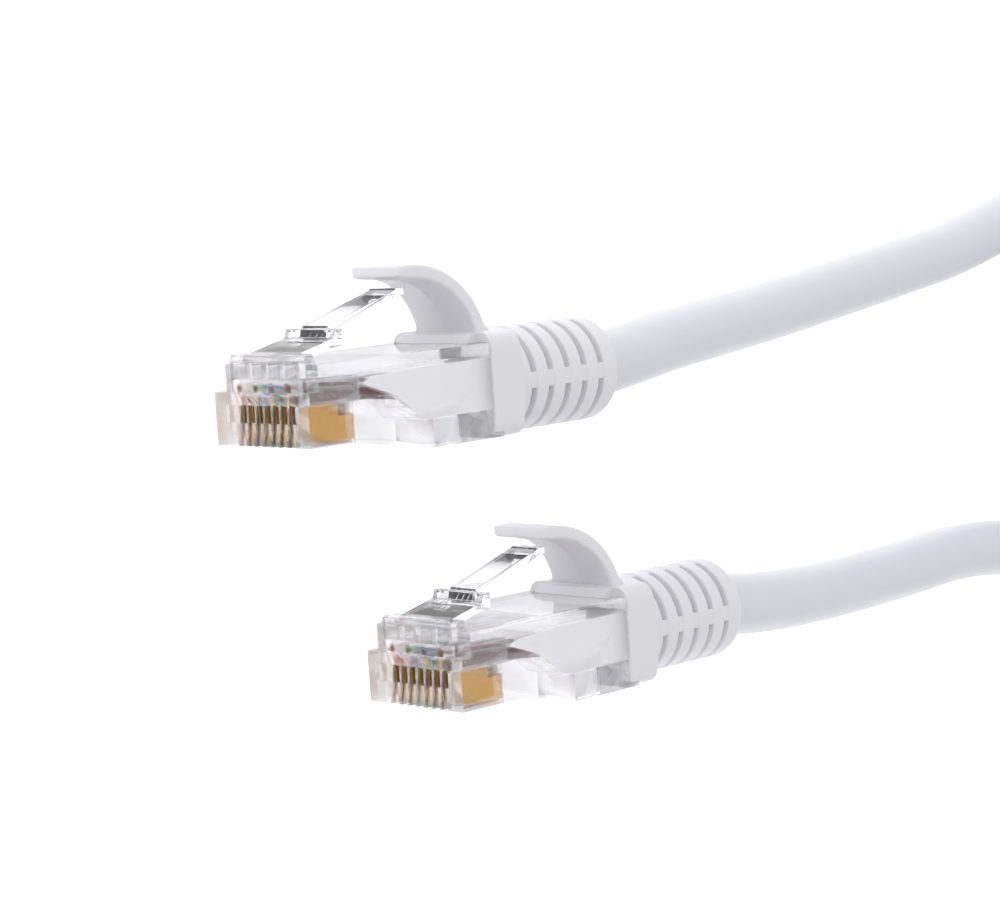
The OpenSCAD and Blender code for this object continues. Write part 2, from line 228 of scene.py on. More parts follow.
def milky_polycarbonate():
    """Opal moulded insert: an even, waxy white, with a faint glow to stand for scattered light."""
    def describe(tree):
        fac, fine = surface_grain(tree, 0.5, 0.004)
        return {"Base Color": mottle(tree, fac, linear("#efeef2"), linear("#f7f6fa")),
                "IOR": 1.585, "Emission Color": WHITE, "Emission Strength": 0.22,
                "Roughness": 0.42, "Subsurface Weight": 0.15, "Subsurface Scale": 0.6 * MM,
                "Subsurface Radius": (1.0, 1.0, 1.0), "Normal": fine}
    return finish("milky_polycarbonate_moulded", describe)


def soft_boot_vinyl():
    """Soft white vinyl, moulded in a spark-eroded tool: satin, with a fine even grain."""
    def describe(tree):
        fac, fine = surface_grain(tree, 0.22, 0.006)
        return {"Base Color": bpy.context.scene.patch_boot.colour, "IOR": 1.53,
                "Roughness": mottle(tree, fac, grey(0.42), grey(0.56)),
                "Subsurface Weight": 0.1, "Subsurface Scale": 0.5 * MM,
                "Subsurface Radius": (1.0, 0.9, 0.8), "Normal": fine}
    return finish("white_vinyl_moulded", describe)


def cable_jacket_vinyl():
    """Extruded vinyl jacket: smoother than the boot, with faint draw lines along it."""
    def describe(tree):
        fac, fine = surface_grain(tree, 0.9, 0.008, 4.0, (0.25, 1.0, 1.0))
        return {"Base Color": bpy.context.scene.patch_cable.colour, "IOR": 1.53,
                "Roughness": mottle(tree, fac, grey(0.34), grey(0.46)),
                "Subsurface Weight": 0.1, "Subsurface Scale": 0.6 * MM,
                "Subsurface Radius": (1.0, 0.9, 0.8), "Normal": fine}
    return finish("white_vinyl_extruded", describe)


def knitted_nylon():
    """Knitted nylon tape of a hook-and-loop strap: matt, with loops of a third of a millimetre."""
    def describe(tree):
        fac, loops = surface_grain(tree, 0.33, 0.05, 2.0, (1.0, 1.6, 1.6))
        return {"Base Color": mottle(tree, fac, linear("#c9c9cd"), linear("#e3e3e6")),
                "IOR": 1.53, "Roughness": 0.85, "Sheen Weight": 0.3, "Normal": loops}
    return finish("white_nylon_knitted", describe)


def gold_plated_bronze():
    """Gold flash on stamped bronze: warm and bright, softened by the grain of the stamping."""
    def describe(tree):
        fac, fine = surface_grain(tree, 0.12, 0.002, 4.0)
        return {"Base Color": mottle(tree, fac, linear("#e0a648"), linear("#efbf6c")),
                "Metallic": 1.0, "Roughness": mottle(tree, fac, grey(0.3), grey(0.45)),
                "Normal": fine}
    return finish("gold_plated_bronze_stamped", describe)


def bare_copper():
    """Drawn copper wire, cut square: reddish and dull where it has been sheared."""
    def describe(tree):
        fac, fine = surface_grain(tree, 0.08, 0.004, 4.0)
        return {"Base Color": mottle(tree, fac, linear("#a8653e"), linear("#d69a6c")),
                "Metallic": 1.0, "Roughness": 0.35, "Normal": fine}
    return finish("bare_copper_drawn", describe)


def wire_insulation(name, colour, striped):
    """Extruded polyethylene insulation: glossy, plain or white with one printed stripe."""
    def describe(tree):
        fac, fine = surface_grain(tree, 0.3, 0.003)
        tone = mottle(tree, fac, colour, tuple(min(1, c * 1.12) for c in colour))
        if striped:
            tone = striped_white(tree, tone)
        return {"Base Color": tone, "IOR": 1.51, "Roughness": 0.3, "Normal": fine}
    return finish(f"polyethylene_{name}_extruded", describe)


def striped_white(tree, tone):
    """White with three stripes of a tone, which cover a part of the way round a wire."""
    around = add(tree, "ShaderNodeUVMap", uv_map="round_and_along")
    parts = add(tree, "ShaderNodeSeparateXYZ", {"Vector": around.outputs["UV"]})
    ring = add(tree, "ShaderNodeMath", {0: parts.outputs["X"], 1: 3.0}, operation="MULTIPLY")
    part = add(tree, "ShaderNodeMath", {0: ring.outputs[0], 1: 1.0, 2: 0.0}, operation="WRAP")
    stripe = add(tree, "ShaderNodeMath", {0: part.outputs[0], 1: STRIPE_SHARE},
                 operation="LESS_THAN")
    mixed = add(tree, "ShaderNodeMix", {0: stripe.outputs[0], 6: linear("#ece9e6"), 7: tone},
                data_type="RGBA")
    return mixed.outputs[2]


def matt_card():
    """White card for the floor: matt, with the faintest tooth, and lit from below."""
    def describe(tree):
        fac, fine = surface_grain(tree, 2.0, 0.01)
        glow = bpy.context.scene.patch_stage.floor_glow
        return {"Base Color": mottle(tree, fac, linear("#f6f6f6"), linear("#fafafa")),
                "Roughness": 0.9, "Specular IOR Level": 0.1, "Emission Color": WHITE,
                "Emission Strength": glow, "Normal": fine}
    return finish("white_card_matt", describe)


# ---------------------------------------------------------------- mesh helpers

def prism(bm, outline, y0, y1):
    """Adds a solid with an [x, z] outline between two places across the plug."""
    sides = [[bm.verts.new((x, y, z)) for x, z in outline] for y in (y0, y1)]
    bm.faces.new(sides[0])
    bm.faces.new(reversed(sides[1]))
    for k in range(len(outline)):
        n = (k + 1) % len(outline)
        bm.faces.new((sides[0][k], sides[1][k], sides[1][n], sides[0][n]))


def block(bm, p, q):
    """Adds a box between two opposite corners."""
    prism(bm, [(p[0], p[2]), (q[0], p[2]), (q[0], q[2]), (p[0], q[2])], p[1], q[1])


def skin(bm, rings, uv=None):
    """Adds a closed skin over rings of points; uv, if given, gets turns round and way along."""
    loops = [[bm.verts.new(p) for p in ring] for ring in rings]
    count = len(loops[0])
    for j in range(len(loops) - 1):
        for k in range(count):
            n = (k + 1) % count
            face = bm.faces.new((loops[j][k], loops[j][n], loops[j + 1][n], loops[j + 1][k]))
            if uv:
                places = ((k, j), (k + 1, j), (k + 1, j + 1), (k, j + 1))
                for loop, (around, along) in zip(face.loops, places):
                    loop[uv].uv = (around / count, along / (len(loops) - 1))
    bm.faces.new(reversed(loops[0]))
    bm.faces.new(loops[-1])


def ring_round(x, y, z, radius, sides):
    """Ring of points round an axis along x."""
    turn = 2 * pi / sides
    return [(x, y + radius * cos(k * turn), z + radius * sin(k * turn)) for k in range(sides)]


def rod(bm, x0, x1, radius, y, z, sides=24):
    skin(bm, [ring_round(x, y, z, radius, sides) for x in (x0, x1)])


def pipe(bm, path, radius, sides=20, uv=None):
    """Adds a tube through the points of a path that runs mainly along x."""
    rings = []
    for k, point in enumerate(path):
        way = (path[min(k + 1, len(path) - 1)] - path[max(k - 1, 0)]).normalized()
        side = way.cross(Vector((0, 0, 1))).normalized()
        rise = side.cross(way)
        rings.append([point + radius * (cos(a) * side + sin(a) * rise)
                      for a in (2 * pi * n / sides for n in range(sides))])
    skin(bm, rings, uv)


def smooth(t):
    """Goes from 0 to 1 with a level start and end."""
    t = min(max(t, 0.0), 1.0)
    return t * t * (3 - 2 * t)


def mesh_of(fill):
    """A mesh that fill() draws, with its faces turned outwards."""
    bm = bmesh.new()
    fill(bm)
    bmesh.ops.recalc_face_normals(bm, faces=bm.faces)
    mesh = bpy.data.meshes.new("piece")
    bm.to_mesh(mesh)
    bm.free()
    return mesh


def united(first, second):
    """Two solids joined into one mesh."""
    whole, other = (bpy.data.objects.new("work", mesh) for mesh in (first, second))
    for thing in (whole, other):
        bpy.context.scene.collection.objects.link(thing)
    union = whole.modifiers.new("union", "BOOLEAN")
    union.operation, union.solver, union.object = "UNION", "EXACT", other
    shaped = whole.evaluated_get(bpy.context.evaluated_depsgraph_get())
    mesh = bpy.data.meshes.new_from_object(shaped)
    for thing in (whole, other):
        bpy.data.objects.remove(thing)
    return mesh


def carved(body, cuts=(), edge=0.0, segments=2, sharp=35):
    """The body less each cut, with its edges rounded over by edge millimetres."""
    piece = bpy.data.objects.new("work", body)
    bpy.context.scene.collection.objects.link(piece)
    cutters = []
    for cut in cuts:
        cutter = bpy.data.objects.new("cut", cut)
        bpy.context.scene.collection.objects.link(cutter)
        cutters.append(cutter)
        carve = piece.modifiers.new("carve", "BOOLEAN")
        carve.operation, carve.solver, carve.use_self = "DIFFERENCE", "EXACT", True
        carve.object = cutter
    if edge:
        soften = piece.modifiers.new("soften", "BEVEL")
        soften.width, soften.segments = edge, segments
        soften.limit_method, soften.angle_limit = "ANGLE", radians(sharp)
        soften.harden_normals = True
    for polygon in body.polygons:
        polygon.use_smooth = True
    shaped = piece.evaluated_get(bpy.context.evaluated_depsgraph_get())
    mesh = bpy.data.meshes.new_from_object(shaped)
    for thing in (piece, *cutters):
        bpy.data.objects.remove(thing)
    for polygon in mesh.polygons:
        polygon.use_smooth = True
    if not edge:
        mesh.set_sharp_from_angle(angle=radians(sharp))
    return mesh


def plug_place(end):
    """Takes millimetres in an end's plug frame to metres in the model."""
    lo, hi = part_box(f"plug_{end}_housing")
    return Matrix(((MM, 0, 0, hi.x), (0, 0, -MM, hi.y - HEEL_DROP * MM),
                   (0, MM, 0, (lo.z + hi.z) / 2), (0, 0, 0, 1)))


def lay_out(name, mesh, material, node, end):
    """Puts one end's copy of a mesh in place, to stand for its CAD node."""
    copy = mesh.copy()
    copy.name = f"{name}_{end}"
    copy.transform(plug_place(end))
    copy.materials.clear()
    copy.materials.append(material)
    piece = bpy.data.objects.new(f"{name}_{end}", copy)
    bpy.context.scene.collection.objects.link(piece)
    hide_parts(f"plug_{end}_{node}")
    return piece


def fix_to_ends(name, mesh, material, node):
    """Places a mesh at both ends, as pieces that move with the cable."""
    for end in ENDS:
        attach(lay_out(name, mesh, material, node, end), "cable")


def contact_y(i):
    return (i - 3.5) * PITCH


# ---------------------------------------------------------------- settings

class PlugLooks(bpy.types.PropertyGroup):
    """Sizes and colours of the plug."""

    edge: FloatProperty(
        name="Edge Radius", description="Rounding of the clear housing's edges, in millimetres",
        default=0.09, min=0.0, max=0.1)
    wire_diameter: FloatProperty(
        name="Wire Diameter", description="Outer diameter of one insulated wire, in millimetres",
        default=0.98, min=0.9, max=1.0)
    core_diameter: FloatProperty(
        name="Core Diameter", description="Diameter of one copper core, in millimetres",
        default=0.51, min=0.4, max=0.56)
    notch_width: FloatProperty(
        name="Notch Width", description="Width of one notch of the comb, in millimetres",
        default=0.62, min=0.5, max=0.7)
    latch_width: FloatProperty(
        name="Latch Width", description="Width of the latch at its shoulder, in millimetres",
        default=6.2, min=5.8, max=6.4)
    stem_width: FloatProperty(
        name="Stem Width", description="Width of the latch stem, in millimetres",
        default=3.25, min=3.0, max=3.5)
    thin_alpha: FloatProperty(
        name="Thin Wall Alpha", description="How much of the light the clear thin walls bend",
        default=0.72, min=0.0, max=1.0)
    bar_alpha: FloatProperty(
        name="Wire Guide Alpha", description="How much of the light the wire guides bend",
        default=0.15, min=0.0, max=1.0)
    clear_colour: FloatVectorProperty(
        name="Clear Colour", description="Tint of the clear housing", subtype="COLOR", size=4,
        default=linear("#fdfdff"), min=0.0, max=1.0)


class BootLooks(bpy.types.PropertyGroup):
    """Sizes and colour of the boot and its hood."""

    relief_diameter: FloatProperty(
        name="Strain Relief", description="Diameter of the ribbed strain relief, in millimetres",
        default=9.3, min=9.0, max=9.5)
    slots: IntProperty(
        name="Slots", description="Number of slots along the strain relief",
        default=5, min=3, max=5)
    slot_width: FloatProperty(
        name="Slot Width", description="Width of one slot, in millimetres",
        default=0.75, min=0.5, max=0.9)
    slot_depth: FloatProperty(
        name="Slot Depth", description="Depth of one slot, in millimetres",
        default=1.05, min=0.6, max=1.2)
    hood_thickness: FloatProperty(
        name="Hood Thickness", description="Thickness of the hood, in millimetres",
        default=1.2, min=1.0, max=1.3)
    hood_base_width: FloatProperty(
        name="Hood Base Width", description="Width of the hood at its base, in millimetres",
        default=7.8, min=7.4, max=8.0)
    hood_tip_width: FloatProperty(
        name="Hood Tip Width", description="Width of the hood at its tip, in millimetres",
        default=6.0, min=5.6, max=6.4)
    colour: FloatVectorProperty(
        name="Boot Colour", description="Colour of the boot and hood", subtype="COLOR", size=4,
        default=linear("#e4e3e7"), min=0.0, max=1.0)


class CableLooks(bpy.types.PropertyGroup):
    """Size and colour of the cable."""

    diameter: FloatProperty(
        name="Cable Diameter", description="Outer diameter of the cable", unit="LENGTH",
        default=0.0058, min=0.0056, max=0.0058, precision=4)
    free_length: FloatProperty(
        name="Free Length", description="Length of the cable between the two boots",
        unit="LENGTH", default=0.839, min=0.8, max=0.9)
    run_length: FloatProperty(
        name="Hank Runs", description="Length of the hank's straight runs", unit="LENGTH",
        default=0.0596, min=0.05, max=0.062)
    colour: FloatVectorProperty(
        name="Jacket Colour", description="Colour of the cable's jacket", subtype="COLOR",
        size=4, default=linear("#dddee3"), min=0.0, max=1.0)


class StageLooks(bpy.types.PropertyGroup):
    """The camera, the floor and the light."""

    focal_length: FloatProperty(
        name="Focal Length", description="Focal length on a 36 mm frame", unit="CAMERA",
        default=105.0, min=35.0, max=200.0)
    distance: FloatProperty(
        name="Camera Distance", description="Distance from the camera to what it looks at",
        unit="LENGTH", default=0.2546, min=0.1, max=2.0)
    azimuth: FloatProperty(
        name="Camera Azimuth", description="Bearing of the camera, from +X towards +Y",
        unit="ROTATION", default=radians(-8.52))
    elevation: FloatProperty(
        name="Camera Elevation", description="Angle of the camera above the floor",
        unit="ROTATION", default=radians(45.74))
    roll: FloatProperty(
        name="Camera Roll", description="Turn of the camera about its own axis",
        unit="ROTATION", default=radians(92.36))
    world_strength: FloatProperty(
        name="Room Light", description="Brightness of the room round the object",
        default=0.82, min=0.0, max=2.0)
    key_power: FloatProperty(
        name="Key Light", description="Power of the large soft light", unit="POWER",
        default=1.7, min=0.0, max=20.0)
    fill_power: FloatProperty(
        name="Fill Light", description="Power of the light near the camera", unit="POWER",
        default=0.3, min=0.0, max=20.0)
    floor_glow: FloatProperty(
        name="Floor Glow", description="Light that comes through the white floor",
        default=0.55, min=0.0, max=1.0)


# ---------------------------------------------------------------- stage and cable

class PATCH_OT_stage(bpy.types.Operator):
    """Makes the camera, the floor and the soft studio light"""

    bl_idname = "patch_cable.stage"
    bl_label = "Stage"

    def execute(self, context):
        looks = context.scene.patch_stage
        target = Vector((-0.00023, -0.00246, 0.00615))
        back = Vector((cos(looks.azimuth) * cos(looks.elevation),
                       sin(looks.azimuth) * cos(looks.elevation), sin(looks.elevation)))
        camera = bpy.data.objects.new("camera", bpy.data.cameras.new("camera"))
        camera.data.lens = looks.focal_length
        camera.data.clip_start, camera.data.clip_end = 0.01, 20.0
        camera.location = target + back * looks.distance
        turn = back.to_track_quat("Z", "Y") @ Quaternion((0, 0, 1), looks.roll)
        camera.rotation_euler = turn.to_euler()
        context.scene.collection.objects.link(camera)
        context.scene.camera = camera

        half = 2.5
        mesh = bpy.data.meshes.new("floor")
        mesh.from_pydata([(-half, -half, 0), (half, -half, 0), (half, half, 0), (-half, half, 0)],
                         [], [(0, 1, 2, 3)])
        mesh.materials.append(matt_card())
        floor = bpy.data.objects.new("floor", mesh)
        context.scene.collection.objects.link(floor)

        lights = (("key", (0.15, -0.75, 0.6), 0.7, looks.key_power),
                  ("fill", (0.7, 0.15, 0.5), 0.5, looks.fill_power))
        for name, place, size, power in lights:
            light = bpy.data.objects.new(name, bpy.data.lights.new(name, "AREA"))
            light.data.size, light.data.energy = size, power
            light.location = place
            light.rotation_euler = Vector(place).to_track_quat("Z", "Y").to_euler()
            context.scene.collection.objects.link(light)

        world = bpy.data.worlds.new("studio")
        world.use_nodes = True
        room = world.node_tree.nodes["Background"]
        room.inputs["Color"].default_value = linear("#f8f8fa")
        room.inputs["Strength"].default_value = looks.world_strength
        context.scene.world = world
        context.scene.view_settings.view_transform = "Standard"
        return {"FINISHED"}


def hank_point(gone, run):
    """Place in the hank after so many quarters of a lap, in metres."""
    for (t0, *start), (t1, *stop) in zip(HANK_LANES, HANK_LANES[1:]):
        if gone <= t1:
            part = smooth((gone - t0) / (t1 - t0))
            out, height = (a + (b - a) * part for a, b in zip(start, stop))
            break
    quarter, part = int(gone) % 4, gone % 1.0
    if quarter == 0:
        return Vector((HANK_EAST - run * part, -out, height))
    if quarter == 2:
        return Vector((HANK_EAST - run * (1 - part), out, height))
    centre, turn = (HANK_EAST - run, -pi / 2) if quarter == 1 else (HANK_EAST, pi / 2)
    angle = turn - pi * part
    return Vector((centre + out * cos(angle), out * sin(angle), height))


def hank_strap(radius):
    """The strap drawn tight round the hank's three runs, with its end lapped on its outer side."""
    lo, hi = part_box("hank_tie")
    thick = HANK_LANES[0][2] - radius
    centres = [(-HANK_LANES[0][1], HANK_LANES[0][2]), (-HANK_LANES[3][1], HANK_LANES[3][2]),
               (-HANK_LANES[6][1], HANK_LANES[6][2])]

    def wrap(reach, start, stop, steps):
        """Points on a band round the runs, from one bearing to another, clockwise."""
        outline = []
        for k in range(steps + 1):
            a = radians(start + (stop - start) * k / steps)
            way = Vector((cos(a), sin(a)))
            far = max(centres, key=lambda c: Vector(c).dot(way))
            outline.append(Vector(far) + way * reach)
        return outline

    def fill(bm):
        inner, outer = wrap(radius, 0, 360, 72), wrap(radius + thick, 0, 360, 72)
        rings = []
        for p, q in zip(inner[:-1], outer[:-1]):
            rings.append([bm.verts.new((x, v.x, v.y)) for x, v in
                          ((lo.x, p), (lo.x, q), (hi.x, q), (hi.x, p))])
        for k in range(72):
            near, far = rings[k], rings[(k + 1) % 72]
            for j in range(4):
                n = (j + 1) % 4
                bm.faces.new((near[j], near[n], far[n], far[j]))
        low, high = (wrap(radius + thick * share, 70, 190, 24) for share in (1.02, 1.9))
        inset = (hi.x - lo.x) * 0.04    # the lapped end is a little narrower
        skin(bm, [[(lo.x + inset, a.x, a.y), (lo.x + inset, b.x, b.y), (hi.x - inset, b.x, b.y),
                   (hi.x - inset, a.x, a.y)] for a, b in zip(low, high)])

    mesh = carved(mesh_of(fill), edge=thick * 0.2)
    mesh.materials.append(knitted_nylon())
    strap = bpy.data.objects.new("hank_strap", mesh)
    bpy.context.scene.collection.objects.link(strap)
    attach(strap, "cable")
    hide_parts("hank_tie")
    return strap


class PATCH_OT_cable(bpy.types.Operator):
    """Lays the cable from one boot through its tied hank to the other boot"""

    bl_idname = "patch_cable.cable"
    bl_label = "Cable"

    def execute(self, context):
        looks = context.scene.patch_cable
        inside = Vector((0.004, 0, 0))
        points = [Vector(ROUTE_A[0]) + inside, *ROUTE_A]
        for quarter in range(int(HANK_LANES[-1][0])):
            count = FOLD_POINTS if quarter % 2 else RUN_POINTS
            points += [hank_point(quarter + k / count, looks.run_length) for k in range(count)]
        points += [*reversed(ROUTE_B), Vector(ROUTE_B[0]) + inside]
        curve = bpy.data.curves.new("cable", "CURVE")
        curve.dimensions, curve.resolution_u = "3D", 5
        curve.bevel_depth, curve.bevel_resolution = looks.diameter / 2, 8
        curve.use_fill_caps = True
        spline = curve.splines.new("BEZIER")
        spline.bezier_points.add(len(points) - 1)
        for knot, point in zip(spline.bezier_points, points):
            knot.co = point
            knot.handle_left_type = knot.handle_right_type = "AUTO"
        curve.materials.append(cable_jacket_vinyl())
        strap = hank_strap(looks.diameter / 2)
        cable = bpy.data.objects.new("cable", curve)
        context.scene.collection.objects.link(cable)
        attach(cable, "cable")
        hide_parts("lead_a", "lead_b", "hank")
        return {"FINISHED"}


class PATCH_OT_jackets(bpy.types.Operator):
    """Makes the jacket in each plug, squeezed flat at its cut end"""

    bl_idname = "patch_cable.jackets"
    bl_label = "Jacket Ends"

    def execute(self, context):
        radius = context.scene.patch_cable.diameter / MM / 2 - 0.02
        flat_half, flat_rise, flat_z = 3.38, 2.0, (CAVITY_Z[0] + CAVITY_Z[1]) / 2
        places = (WIRE_END, WIRE_END - 0.02, -14.0, -16.0, -18.0, -20.0, -21.5, -23.0, -24.5,
                  -26.0, -30.0, BOOT_END + 1)

        def fill(bm):
            rings = []
            for x in places:
                t = smooth((-20.0 - x) / 5.0)
                ring = []
                for k in range(40):
                    c, s = cos(2 * pi * k / 40), sin(2 * pi * k / 40)
                    # squeezed, the round outline becomes a box with round sides
                    pull = max(abs(c), abs(s)) ** -0.35
                    y = flat_half * c * min(pull, 1 / max(abs(c), 0.01))
                    z = flat_rise * s * min(pull, 1 / max(abs(s), 0.01))
                    ring.append((x, y + (radius * c - y) * t,
                                 flat_z + z + (AXIS_Z + radius * s - flat_z - z) * t))
                rings.append(ring)
            skin(bm, rings)

        mesh = carved(mesh_of(fill), edge=0.12, sharp=50)
        fix_to_ends("jacket_end", mesh, cable_jacket_vinyl(), "jacket")
        return {"FINISHED"}


# ---------------------------------------------------------------- plug

class PATCH_OT_housings(bpy.types.Operator):
    """Makes the clear housings, with the comb of the nose and the cavities within"""

    bl_idname = "patch_cable.housings"
    bl_label = "Housings"

    def execute(self, context):
        looks = context.scene.patch_plug
        half = PLUG_W / 2

        def body(bm):
            prism(bm, [(0, 0), (0, COMB_H), (SHOULDER_X, COMB_H), (SHOULDER_X, PLUG_H),
                       (-PLUG_LEN, PLUG_H), (-PLUG_LEN, -HEEL_DROP), (HEEL_END, -HEEL_DROP),
                       (HEEL_START, 0)], -half, half)

        def brow(bm):
            prism(bm, [(BROW_X, COMB_H - 0.5), (BROW_X, BROW_TOP - 0.2), (BROW_X - 0.25, BROW_TOP),
                       (-2.2, BROW_TOP), (-2.6, PLUG_H - 0.6), (-2.6, COMB_H - 0.5)],
                  -BROW_HALF, BROW_HALF)

        def comb(bm):
            for i in CONTACTS:
                y, wide, thin = contact_y(i), looks.notch_width / 2, BLADE_T / 2 + FIT
                block(bm, (1, y - wide, -1), (BLADE_FRONT, y + wide, BLADE_TOP + 0.1))
                block(bm, (0.5, y - thin, -0.8), (BLADE_BACK - FIT, y + thin, BLADE_TOP + FIT))
            block(bm, (1.2, -FLANGE_Y, RIB_FOOT_Z), (-RIB_STEP, FLANGE_Y, BLADE_TOP + 0.15))

        def guide_space(bm):
            block(bm, (WIRE_FRONT + FIT, -GUIDE_HALF - FIT, GUIDE_Z[0] - FIT),
                  (GUIDE_BACK, GUIDE_HALF + FIT, GUIDE_Z[1] + FIT))
            block(bm, (GUIDE_BACK + 0.1, -CHANNEL_HALF, GUIDE_Z[0]),
                  (WIRE_END, CHANNEL_HALF, CHANNEL_Z[1]))

        def mould_space(bm):
            prism(bm, mould_outline(FIT), -CAVITY_HALF - FIT, CAVITY_HALF + FIT)
            block(bm, (LUG_X[0] + FIT, -CAVITY_HALF - FIT, -3),
                  (LUG_X[1] - 0.2, CAVITY_HALF + FIT, CAVITY_Z[0] + 0.2))

        def pocket(bm):
            corner = [(POCKET_BACK + POCKET_R * (1 - cos(a)), CAVITY_Z[0] - POCKET_R * (1 - sin(a)))
                      for a in (radians(15 * k) for k in range(7))]
            prism(bm, [(POCKET_BACK, -3), *corner, (LUG_X[1] + 0.1, CAVITY_Z[0]),
                       (LUG_X[1] + 0.1, -3)], -CAVITY_HALF, CAVITY_HALF)

        def hinge_groove(bm):
            around = [(LATCH_PIN[0] + 0.43 * cos(a), LATCH_PIN[1] + 0.43 * sin(a))
                      for a in (2 * pi * k / 24 for k in range(24))]
            prism(bm, around, -half - 1, half + 1)

        def brow_panels(bm):
            for y in (-3.15, -1.05, 1.05, 3.15):
                block(bm, (BROW_X + 1, y - 0.75, 5.5), (BROW_X - 0.22, y + 0.75, 6.75))

        cuts = [mesh_of(f) for f in (comb, guide_space, mould_space, pocket, hinge_groove,
                                     brow_panels)]
        mesh = carved(united(mesh_of(body), mesh_of(brow)), cuts, edge=looks.edge)
        clear = clear_polycarbonate("thin_wall", looks.thin_alpha)
        fix_to_ends("clear_housing", mesh, clear, "housing")
        return {"FINISHED"}


def mould_outline(grow=0.0):
    """Side outline of the inner mould, with a pointed front over a stepped slope."""
    return [(-PLUG_LEN - grow, CAVITY_Z[1] + grow), (-11.3, CAVITY_Z[1] + grow),
            (-7.4, 4.95 + grow), (-6.6 + 2 * grow, 4.5), (-10, 3.3 - grow), (-11.3, 2.3 - grow),
            (-12.8 + grow, 1 - grow), (-13 + grow, CAVITY_Z[0] - grow),
            (-PLUG_LEN - grow, CAVITY_Z[0] - grow)]


class PATCH_OT_moulds(bpy.types.Operator):
    """Makes the opal inner moulds that hold the wires and the jacket"""

    bl_idname = "patch_cable.moulds"
    bl_label = "Inner Moulds"

    def execute(self, context):
        def body(bm):
            prism(bm, mould_outline(), -CAVITY_HALF, CAVITY_HALF)

        def lug(bm):
            block(bm, (LUG_X[0], -CAVITY_HALF, -HEEL_DROP + 0.1),
                  (LUG_X[1], CAVITY_HALF, CAVITY_Z[0] - 0.01))

        def channel(bm):
            block(bm, (0, -CHANNEL_HALF, CHANNEL_Z[0]), (WIRE_END, CHANNEL_HALF, CHANNEL_Z[1]))
            block(bm, (WIRE_END + 0.1, -3.45, 1.0), (-30, 3.45, CHANNEL_Z[1]))

        inner = carved(mesh_of(body), [mesh_of(channel)], edge=0.1)
        block_mesh = carved(mesh_of(lug), edge=0.15)
        bm = bmesh.new()
        bm.from_mesh(inner)
        bm.from_mesh(block_mesh)
        both = bpy.data.meshes.new("inner_mould")
        bm.to_mesh(both)
        bm.free()
        fix_to_ends("inner_mould", both, milky_polycarbonate(), "inner_mould")
        return {"FINISHED"}


class PATCH_OT_guides(bpy.types.Operator):
    """Makes the clear bars that hold the eight wires in two rows"""

    bl_idname = "patch_cable.guides"
    bl_label = "Wire Guides"

    def execute(self, context):
        looks = context.scene.patch_plug
        radius = looks.wire_diameter / 2 + FIT

        def body(bm):
            block(bm, (WIRE_FRONT, -GUIDE_HALF, GUIDE_Z[0]), (GUIDE_BACK, GUIDE_HALF, GUIDE_Z[1]))

        def bores(row):
            def fill(bm):
                for i in CONTACTS:
                    if i % 2 == row:
                        rod(bm, 1, -9, radius, contact_y(i), ROW_Z[row])
            return mesh_of(fill)

        mesh = carved(mesh_of(body), [bores(0), bores(1)], edge=0.04)
        clear = clear_polycarbonate("bar", looks.bar_alpha)
        fix_to_ends("wire_guide", mesh, clear, "wire_guide")
        return {"FINISHED"}


class PATCH_OT_contacts(bpy.types.Operator):
    """Makes the sixteen gold-plated blades with their piercing points"""

    bl_idname = "patch_cable.contacts"
    bl_label = "Contacts"

    def execute(self, context):
        for row in (0, 1):
            def fill(bm):
                points = []
                for x in reversed(TINES):
                    points += [(x - TINE_W, BLADE_TOP), (x - TINE_W, TINE_TOP[row] - 0.3),
                               (x - TINE_W / 2, TINE_TOP[row]), (x, TINE_TOP[row] - 0.3),
                               (x, BLADE_TOP)]
                prism(bm, [(BLADE_FRONT - 0.4, BLADE_LOW), (BLADE_MID, FOOT_LOW),
                           (BLADE_BACK, FOOT_LOW), (BLADE_BACK, FOOT_TOP), (BLADE_MID, FOOT_TOP),
                           (BLADE_MID, BLADE_TOP), *points, (BLADE_FRONT - 0.1, BLADE_TOP),
                           (BLADE_FRONT, BLADE_TOP - 0.1), (BLADE_FRONT, BLADE_LOW + 0.4),
                           (BLADE_FRONT - 0.12, BLADE_LOW + 0.12)], -BLADE_T / 2, BLADE_T / 2)

            blade = carved(mesh_of(fill), edge=0.04)
            for i in CONTACTS:
                if i % 2 != row:
                    continue
                placed = blade.copy()
                placed.transform(Matrix.Translation((0, contact_y(i), 0)))
                contact = f"contact_{i + 1}"
                fix_to_ends(contact, placed, gold_plated_bronze(), contact)
        return {"FINISHED"}


# Insulation in contact order: name, colour, and whether it is white with a stripe.
WIRES = (
    ("white_orange", "#e0642c", True), ("orange", "#d8401c", False),
    ("white_green", "#26904c", True), ("blue", "#0d4a92", False),
    ("white_blue", "#2262b0", True), ("green", "#0e7436", False),
    ("white_brown", "#74382a", True), ("brown", "#561a18", False),
)


def wire_path(i, front):
    """Straight through the guide, then drawn together into the jacket."""
    y, z = contact_y(i), ROW_Z[i % 2]
    path = [Vector((x, y, z)) for x in (front, -2.0, -3.5, -5.0, -6.5)]
    for k in range(1, 9):
        t = smooth(k / 8)
        x = -6.5 + (WIRE_END + 6.5) * k / 8
        path.append(Vector((x, y * (1 - 0.24 * t), z + (3.35 + 0.5 * (z - 4.2) - z) * t)))
    return path


